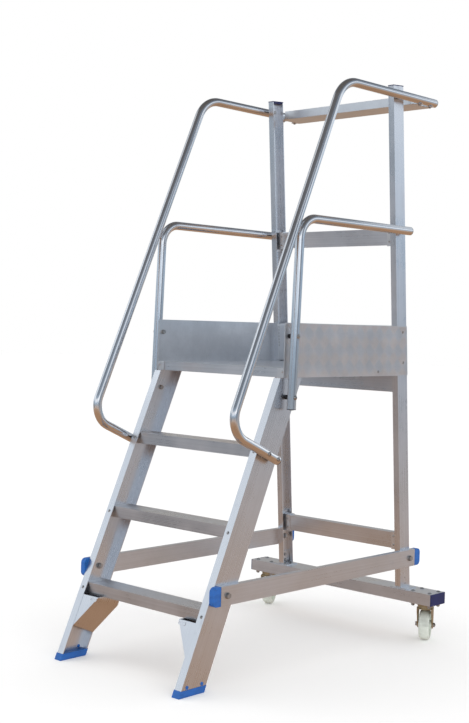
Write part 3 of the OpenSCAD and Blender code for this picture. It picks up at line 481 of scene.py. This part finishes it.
def bent_tube(name, across, path, bends, radius, wall, sides=48):
    """Open tube through corners given as (y, z), rounded by the bends."""
    path = [Vector(p) for p in path]
    runs = [b - a for a, b in zip(path, path[1:])]
    turns = [turn_between(a, b) for a, b in zip(runs, runs[1:])]
    backs = [0.0] + [r * math.tan(abs(t) / 2) for r, t in zip(bends, turns)] + [0.0]
    slope = math.atan2(runs[0].y, runs[0].x)
    deselect()
    bpy.ops.mesh.primitive_circle_add(
        vertices=sides, radius=radius, location=(across, *path[0]),
        rotation=(slope - math.pi / 2, 0, 0))
    made = settle(bpy.context.object, name)
    bpy.ops.object.mode_set(mode="EDIT")
    bpy.ops.mesh.select_all(action="SELECT")
    for i, run in enumerate(runs):
        step = run.normalized() * (run.length - backs[i] - backs[i + 1])
        bpy.ops.mesh.extrude_region_move(
            TRANSFORM_OT_translate={"value": (0.0, step.x, step.y)})
        if i < len(turns):
            side = math.copysign(1.0, turns[i])
            edge = path[i + 1] - run.normalized() * backs[i + 1]
            centre = edge + Vector((-run.y, run.x)).normalized() * side * bends[i]
            bpy.ops.mesh.spin(
                steps=max(6, int(abs(turns[i]) / BEND_STEP)), angle=-turns[i],
                center=(across, *centre), axis=(1.0, 0.0, 0.0))
    bpy.ops.mesh.select_all(action="SELECT")
    bpy.ops.mesh.remove_doubles(threshold=0.00001)
    bpy.ops.mesh.normals_make_consistent(inside=False)
    bpy.ops.object.mode_set(mode="OBJECT")
    modify(made, "SOLIDIFY", thickness=wall, offset=-1.0)
    width = max(v.co.x for v in made.data.vertices) - min(v.co.x for v in made.data.vertices)
    if abs(width - 2 * radius) > 0.0005:
        raise RuntimeError(f"{name} is {width} m wide")
    smooth(made)
    return made


def mirrored(obj, name):
    """The same piece on the other side of the stand."""
    pick(obj)
    bpy.ops.object.duplicate()
    made = bpy.context.object
    made.scale = (-1.0, 1.0, 1.0)
    settle(made, name)
    bpy.ops.object.mode_set(mode="EDIT")
    bpy.ops.mesh.select_all(action="SELECT")
    bpy.ops.mesh.normals_make_consistent(inside=False)
    bpy.ops.object.mode_set(mode="OBJECT")
    return made


def cut_beyond(obj, point, outward):
    """Cuts off and closes what lies beyond a plane."""
    pick(obj)
    bpy.ops.object.mode_set(mode="EDIT")
    bpy.ops.mesh.select_all(action="SELECT")
    bpy.ops.mesh.bisect(
        plane_co=point, plane_no=outward, use_fill=True, clear_outer=True, clear_inner=False,
        threshold=0.000001)
    bpy.ops.object.mode_set(mode="OBJECT")


def owned(obj, body, slot, material, *nodes):
    """Paints a finished piece and hands it to its body."""
    paint(obj, material)
    if nodes:
        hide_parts(*nodes)
    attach(obj, body)
    return obj


# ---------------------------------------------------------------- operators

class StandOperator:
    bl_options = {"REGISTER", "UNDO"}


class STAND_OT_finishes(StandOperator, bpy.types.Operator):
    """Gives every piece of the frame its finish"""
    bl_idname = "stand.finishes"
    bl_label = "Finishes"

    def execute(self, context):
        look = context.scene.stand_finish
        alu = tuple(look.extrusion)
        sheet = tuple(look.sheet)
        stile_turn = (math.pi / 2 - STILE_SLOPE, 0.0, 0.0)
        post_turn = (-POST_LEAN, 0.0, 0.0)
        along_x = extruded("aluminium_across", alu, "x", gloss=0.20)
        along_y = extruded("aluminium_lengthwise", alu, "y", gloss=0.22)
        stile = extruded("aluminium_stile", alu, "z", stile_turn, gloss=0.17)
        post = extruded("aluminium_post", alu, "z", post_turn, gloss=0.17)
        tube = drawn_tube("aluminium_tube", tuple(look.tube))
        plate_x = sheet_metal("sheet_across", sheet, "x", 0.26)
        plate_y = sheet_metal("sheet_lengthwise", sheet, "y", 0.26)
        plate_z = sheet_metal("sheet_upright", sheet, "z", 0.26)
        steel = plated("steel_plated", tuple(look.bolt))
        zinc = plated("zinc_yellow", tuple(look.zinc), 0.36, (0.42, 0.30, 0.30))
        blue = moulded("plastic_blue", tuple(look.blue), 0.36)
        navy = moulded("plastic_navy", tuple(look.navy), 0.36)
        black = moulded("plastic_black", tuple(look.black), 0.45)
        nylon = moulded("nylon_cast", tuple(look.nylon), 0.38, 0.18)
        weld = weld_metal("weld_aluminium", alu)
        plan = {
            along_x: ("tread_1", "tread_2", "tread_3", "deck_nosing", "rear_deck_beam",
                      "cross_rail_middle", "cross_rail_lower", "base_beam"),
            along_y: ("deck_planking", "deck_side_left", "deck_side_right",
                      "side_rail_left", "side_rail_right"),
            stile: ("stile_left", "stile_right", "brace_left", "brace_right"),
            post: ("post_left", "post_right"),
            tube: ("handrail_left", "handrail_right", "mid_rail_left", "mid_rail_right"),
            plate_x: ("toe_board_rear", "tool_shelf", "tread_brackets"),
            plate_y: ("toe_board_left", "toe_board_right"),
            plate_z: ("toe_corner_plates", "cross_rail_cleats", "post_shoes",
                      "deck_corners"),
            steel: ("tread_rivets", "toe_board_rivets", "cleat_screws", "rail_bolts",
                    "shelf_screws", "side_rail_bolts", "post_shoe_bolts",
                    "castor_bolts", "castor_axle_left", "castor_axle_right", "swivel_balls"),
            zinc: ("castor_plate_left", "castor_plate_right", "castor_fork_left",
                   "castor_fork_right"),
            blue: ("foot_left", "foot_right", "foot_rivets", "side_rail_caps"),
            navy: ("post_caps", "base_beam_caps"),
            black: ("rail_plugs", "rail_spacers", "wheel_bush_left", "wheel_bush_right"),
            nylon: ("castor_wheel_left", "castor_wheel_right"),
            weld: ("rail_welds",),
        }
        done = set()
        for material, nodes in plan.items():
            for node in nodes:
                paint(frame["nodes"][node], material)
                done.add(node)
        left = set(frame["nodes"]) - done
        if left:
            raise RuntimeError(f"no finish for {sorted(left)}")
        return {"FINISHED"}


def slot_of(node):
    return next(part["material_slot"] for part in frame["record"]["subparts"]
                if part["node"] == node)


def body_of(node):
    for body, nodes in frame["record"]["behaviour"]["bodies"].items():
        if node in nodes:
            return body
    raise RuntimeError(f"no body holds {node}")


def rounded(node, width, segments=2):
    """Replaces a CAD node with the same shape, its edges rounded."""
    material = frame["nodes"][node].data.materials[0]
    return owned(softened(node, width, segments), body_of(node), slot_of(node),
                 material, node)


class STAND_OT_extrusions(StandOperator, bpy.types.Operator):
    """Rounds the edges of the extrusions and sheets"""
    bl_idname = "stand.extrusions"
    bl_label = "Rounded extrusions"

    def execute(self, context):
        edge = context.scene.stand_sizes.edge
        for node in ("stile", "post", "side_rail", "brace", "deck_side"):
            for side in SIDES:
                rounded(f"{node}_{side}", edge)
        for node in ("cross_rail_middle", "cross_rail_lower", "rear_deck_beam", "base_beam",
                     "deck_corners", "post_shoes", "tool_shelf"):
            rounded(node, edge)
        for node in ("tread_1", "tread_2", "tread_3", "deck_nosing", "tread_brackets"):
            rounded(node, edge / 3)
        return {"FINISHED"}


class STAND_OT_mouldings(StandOperator, bpy.types.Operator):
    """Rounds the feet, the caps and the castors"""
    bl_idname = "stand.mouldings"
    bl_label = "Mouldings and castors"

    def execute(self, context):
        edge = context.scene.stand_sizes.edge
        for node in ("foot_left", "foot_right", "side_rail_caps"):
            rounded(node, 2 * edge, 3)
        for node in ("post_caps", "base_beam_caps", "castor_plate_left", "castor_plate_right",
                     "castor_fork_left", "castor_fork_right"):
            rounded(node, edge)
        for side in SIDES:
            rounded(f"castor_wheel_{side}", 1.5 * edge, 3)
        return {"FINISHED"}


class STAND_OT_rails(StandOperator, bpy.types.Operator):
    """Models the handrails and the middle rails as smooth bent tubes"""
    bl_idname = "stand.rails"
    bl_label = "Rail tubes"

    def execute(self, context):
        rail = context.scene.stand_rails

        def stile_point(behind, up):
            return (FRONT_Y + behind * math.sin(STILE_SLOPE) + up * math.cos(STILE_SLOPE),
                    up * math.sin(STILE_SLOPE) - behind * math.cos(STILE_SLOPE))

        def leg_point(height):
            above = height - DECK_HEIGHT
            return (FRONT_Y + rail.mid_leg + above * math.tan(rail.mid_lean), height)

        bend_y = FRONT_Y + rail.top / math.tan(STILE_SLOPE) - rail.out / math.sin(STILE_SLOPE)
        hand = bent_tube(
            "handrail_right_tube", rail.across,
            (stile_point(rail.past, rail.up_stile), stile_point(-rail.out, rail.up_stile),
             (bend_y, rail.top), (FRONT_Y + rail.rear, rail.top)),
            (rail.low_bend, rail.top_bend), rail.radius, rail.wall)
        middle = bent_tube(
            "mid_rail_right_tube", rail.across,
            (leg_point(rail.mid_foot), leg_point(rail.mid_top),
             (FRONT_Y + rail.mid_rear, rail.mid_top)),
            (rail.mid_bend,), rail.radius, rail.wall)
        for made, stem in ((hand, "handrail"), (middle, "mid_rail")):
            other = mirrored(made, f"{stem}_left_tube")
            for obj, node in ((made, f"{stem}_right"), (other, f"{stem}_left")):
                owned(obj, "frame", slot_of(node), frame["nodes"][node].data.materials[0], node)
        return {"FINISHED"}


class STAND_OT_tread_bars(StandOperator, bpy.types.Operator):
    """Raises the five-bar pattern on the outer faces of the toe boards"""
    bl_idname = "stand.tread_bars"
    bl_label = "Five-bar pattern"

    def execute(self, context):
        sizes = context.scene.stand_sizes
        for node in ("toe_board_right", "toe_board_left", "toe_board_rear"):
            source = frame["nodes"][node]
            low, high = box_of(source)
            bars = self.weave(sizes, max(high[i] - low[i] for i in (0, 1)), high[2] - low[2])
            self.lay(bars, node, low, high)
            owned(bars, "frame", slot_of(node), source.data.materials[0])
        return {"FINISHED"}

    def weave(self, sizes, length, height):
        """Basket weave of blocks of five bars, turned by half a right angle."""
        block = sizes.bar_block
        deselect()
        bpy.ops.mesh.primitive_cube_add(size=1.0)
        bar = bpy.context.object
        bar.scale = (sizes.bar_length, sizes.bar_width, 2 * sizes.bar_height)
        settle(bar, "bar")
        modify(bar, "BEVEL", width=0.9 * sizes.bar_height, segments=1,
               limit_method="ANGLE", angle_limit=SHARP_EDGE)
        modify(bar, "ARRAY", count=5, use_relative_offset=False, use_constant_offset=True,
               constant_offset_displace=(0.0, block / 5, 0.0))
        bar.location = (0.0, -2 * block / 5, 0.0)
        settle(bar)
        pick(bar)
        bpy.ops.object.duplicate()
        crossed = bpy.context.object
        crossed.rotation_euler = (0.0, 0.0, math.pi / 2)
        crossed.location = (block, 0.0, 0.0)
        settle(crossed)
        pair = join([bar, crossed], "pair")
        pick(pair)
        bpy.ops.object.duplicate()
        offset = bpy.context.object
        offset.rotation_euler = (0.0, 0.0, math.pi)
        offset.location = (block, block, 0.0)
        settle(offset)
        made = join([pair, offset], "weave")
        count = math.ceil((length + height) / math.sqrt(2) / (2 * block)) + 1
        for axis in ((1, 0, 0), (0, 1, 0)):
            modify(made, "ARRAY", count=count, use_relative_offset=False,
                   use_constant_offset=True,
                   constant_offset_displace=tuple(2 * block * a for a in axis))
        made.location = (-count * block, -count * block, 0.0)
        settle(made)
        made.rotation_euler = (0.0, 0.0, math.pi / 4)
        settle(made)
        return made

    def lay(self, bars, node, low, high):
        """Stands the pattern against a board and trims it to the board's outline."""
        middle = (Vector(low) + Vector(high)) / 2
        margin = 0.002
        if node == "toe_board_rear":
            bars.rotation_euler = (-math.pi / 2 + POST_LEAN, 0.0, 0.0)
            rise = (high[2] - low[2]) / 2
            bars.location = (
                0.0, low[1] + TOE_BOARD_WALL / math.cos(POST_LEAN) + rise * math.tan(POST_LEAN),
                middle.z)
            settle(bars, node + "_bars")
            for side in (-1, 1):
                cut_beyond(bars, (side * (high[0] - margin), 0, 0), (side, 0, 0))
        else:
            side = 1 if node.endswith("right") else -1
            outer = high[0] if side > 0 else low[0]
            bars.rotation_euler = (math.pi / 2, 0.0, math.pi / 2)
            bars.location = (outer, middle.y, middle.z)
            settle(bars, node + "_bars")
            cut_beyond(bars, (0, low[1] + margin, 0), (0, -1, 0))
            cut_beyond(
                bars, (0, high[1] - margin, low[2]),
                (0, math.cos(POST_LEAN), math.sin(POST_LEAN)))
        cut_beyond(bars, (0, 0, high[2] - margin), (0, 0, 1))
        cut_beyond(bars, (0, 0, low[2] + margin), (0, 0, -1))
        smooth(bars, 25)


class STAND_OT_welds(StandOperator, bpy.types.Operator):
    """Lays ripple beads at the rail joints and the post shoes"""
    bl_idname = "stand.welds"
    bl_label = "Weld beads"

    def execute(self, context):
        bead = context.scene.stand_sizes.bead
        weld = bpy.data.materials["weld_aluminium"]
        low, high = box_of(frame["nodes"]["rail_welds"])
        shoes, caps = box_of(frame["nodes"]["post_shoes"])
        made = []
        run = Vector((0.0, math.cos(STILE_SLOPE), math.sin(STILE_SLOPE)))
        height = (high[2] - low[2]) - 2 * bead
        # Two lines of ripples, one at each side of the bead's middle
        inset, apart = 0.0065, 0.006
        for part in (-1, 1):
            start = Vector((high[0] - inset + part * apart, (low[1] + high[1]) / 2,
                            (low[2] + high[2]) / 2)) - run * (height / 2)
            made.append(self.beads(
                start, run * (RIPPLE * bead), int(height / (RIPPLE * bead)), bead))
        plate = shoes[2] + SHOE_PLATE_WALL
        for y in (shoes[1] + 0.006, caps[1] - 0.004):
            made.append(self.beads(
                Vector((caps[0] - 0.048, y, plate)), Vector((RIPPLE * bead, 0, 0)), 6,
                0.8 * bead))
        right = join(made, "weld_beads_right")
        left = mirrored(right, "weld_beads_left")
        for obj in (right, left):
            owned(obj, "frame", "sheet_aluminium", weld)
        return {"FINISHED"}

    def beads(self, start, step, count, radius):
        deselect()
        bpy.ops.mesh.primitive_uv_sphere_add(segments=14, ring_count=8, radius=radius)
        made = bpy.context.object
        smooth(made, 60)
        modify(made, "ARRAY", count=max(3, count), use_relative_offset=False,
               use_constant_offset=True, constant_offset_displace=tuple(step))
        made.location = start
        return settle(made)


class STAND_OT_stage(StandOperator, bpy.types.Operator):
    """Sets the floor, the studio light and the camera"""
    bl_idname = "stand.stage"
    bl_label = "Stage"

    def execute(self, context):
        studio = context.scene.stand_studio
        self.floor(studio)
        self.sky(context.scene)
        self.lamps()
        self.camera(context.scene, studio)
        context.scene.view_settings.view_transform = "Standard"
        return {"FINISHED"}

    def floor(self, studio):
        deselect()
        bpy.ops.mesh.primitive_plane_add(size=studio.floor, location=(0, 0, -0.0002))
        ground = settle(bpy.context.object, "floor")
        made = Finish("floor_pale")
        cloud = made.noise((0.7, 0.7, 0.7), 1.0, 2.0)
        pale = made.mix(cloud, (0.92, 0.92, 0.92), (0.95, 0.95, 0.95))
        made.set(
            Base_Color=pale, Roughness=0.9, Specular_IOR_Level=0.1,
            Emission_Color=(1.0, 1.0, 1.0), Emission_Strength=0.10)
        paint(ground, made.material)
        ground.visible_glossy = False

    def sky(self, scene):
        world = bpy.data.worlds.new("studio")
        scene.world = world
        world.use_nodes = True
        kit = Kit(world.node_tree)
        back = world.node_tree.nodes["Background"]
        ray = kit.node("ShaderNodeTexCoord", None, out=0)
        height = kit.node("ShaderNodeSeparateXYZ", None, ray, out=2)

        def towards(direction, low, high):
            aim = Vector(direction).normalized()
            near = kit.node(
                "ShaderNodeVectorMath", {"operation": "DOT_PRODUCT"}, ray, tuple(aim), out=1)
            return near.over(low, high)

        # Bands of a studio with a warm floor and a bright ceiling light
        low, base = -0.50, (0.42, 0.25, 0.15)
        for level, shade in (
                (-0.30, (0.46, 0.30, 0.20)), (-0.20, (0.58, 0.46, 0.39)),
                (-0.10, (0.47, 0.44, 0.43)), (-0.03, (0.34, 0.39, 0.44)),
                (0.05, (0.34, 0.46, 0.60)), (0.14, (0.84, 0.92, 1.02)),
                (0.25, (1.00, 1.02, 1.05)), (0.40, (0.34, 0.42, 0.52)),
                (0.70, (0.14, 0.14, 0.15)), (1.00, (0.12, 0.11, 0.10))):
            base = kit.mix(height.over(low, level), base, shade)
            low = level
        base = kit.mix(towards((-0.68, -0.73, -0.02), 0.955, 0.99), base, (0.20, 0.21, 0.23))
        base = kit.mix(towards((-0.68, -0.70, 0.18), 0.955, 0.985), base, (0.42, 0.49, 0.56))
        base = kit.mix(towards((-0.68, -0.64, 0.40), 0.965, 0.992), base, (0.98, 1.04, 1.10))
        base = kit.mix(towards((-0.72, 0.66, 0.10), 0.90, 0.98), base, (0.46, 0.42, 0.37))
        base = kit.mix(towards((0.95, 0.10, 0.20), 0.90, 0.97), base, (0.22, 0.26, 0.32))
        mirror_ray = kit.node("ShaderNodeLightPath", None, out=3)
        kit.feed(back.inputs["Color"], kit.mix(mirror_ray, (1.0, 1.0, 1.0), base))
        back.inputs["Strength"].default_value = 1.0

    def lamps(self):
        for name, place, power, side in (
                ("key", (-3.6, -1.6, 4.2), 12.0, 2.6),
                ("fill", (3.8, -1.6, 2.6), 8.0, 2.6),
                ("back", (0.6, 4.2, 3.0), 8.0, 2.6)):
            lamp = bpy.data.lights.new(name, "AREA")
            lamp.energy = power
            lamp.size = side
            holder = bpy.data.objects.new(name, lamp)
            bpy.context.collection.objects.link(holder)
            holder.location = place
            aim = Vector((0.0, 0.0, 1.0)) - Vector(place)
            holder.rotation_euler = aim.to_track_quat("-Z", "Y").to_euler()

    def camera(self, scene, studio):
        camera = bpy.data.cameras.new("camera")
        holder = bpy.data.objects.new("camera", camera)
        bpy.context.collection.objects.link(holder)
        turn = Matrix.Rotation(studio.yaw, 4, "Z")
        tilt = Matrix.Rotation(math.pi / 2 + studio.pitch, 4, "X")
        roll = Matrix.Rotation(studio.roll, 4, "Z")
        holder.matrix_world = Matrix.Translation(studio.camera) @ turn @ tilt @ roll
        camera.lens = studio.lens
        camera.sensor_width = SENSOR
        camera.shift_x = 0.0005
        camera.shift_y = 0.0139
        camera.clip_end = 200.0
        scene.camera = holder


class STAND_PT_panel(bpy.types.Panel):
    """Lists the steps that finish the stand"""
    bl_label = "Ladder stand"
    bl_idname = "STAND_PT_panel"
    bl_space_type = "VIEW_3D"
    bl_region_type = "UI"
    bl_category = "Ladder stand"

    def draw(self, context):
        for step in STEPS:
            self.layout.operator(step.bl_idname)


STEPS = (STAND_OT_finishes, STAND_OT_extrusions, STAND_OT_mouldings, STAND_OT_rails,
         STAND_OT_tread_bars, STAND_OT_welds, STAND_OT_stage)
GROUPS = {"stand_finish": StandFinish, "stand_sizes": StandSizes, "stand_rails": RailSizes,
          "stand_studio": StudioSizes}


def register():
    for made in (*GROUPS.values(), *STEPS, STAND_PT_panel):
        bpy.utils.register_class(made)
    for name, group in GROUPS.items():
        setattr(bpy.types.Scene, name, PointerProperty(type=group))


def unregister():
    for name in GROUPS:
        delattr(bpy.types.Scene, name)
    for made in reversed((*GROUPS.values(), *STEPS, STAND_PT_panel)):
        bpy.utils.unregister_class(made)


def main():
    register()
    for step in STEPS:
        group, name = step.bl_idname.split(".")
        getattr(getattr(bpy.ops, group), name)()


if __name__ == "__main__":
    main()
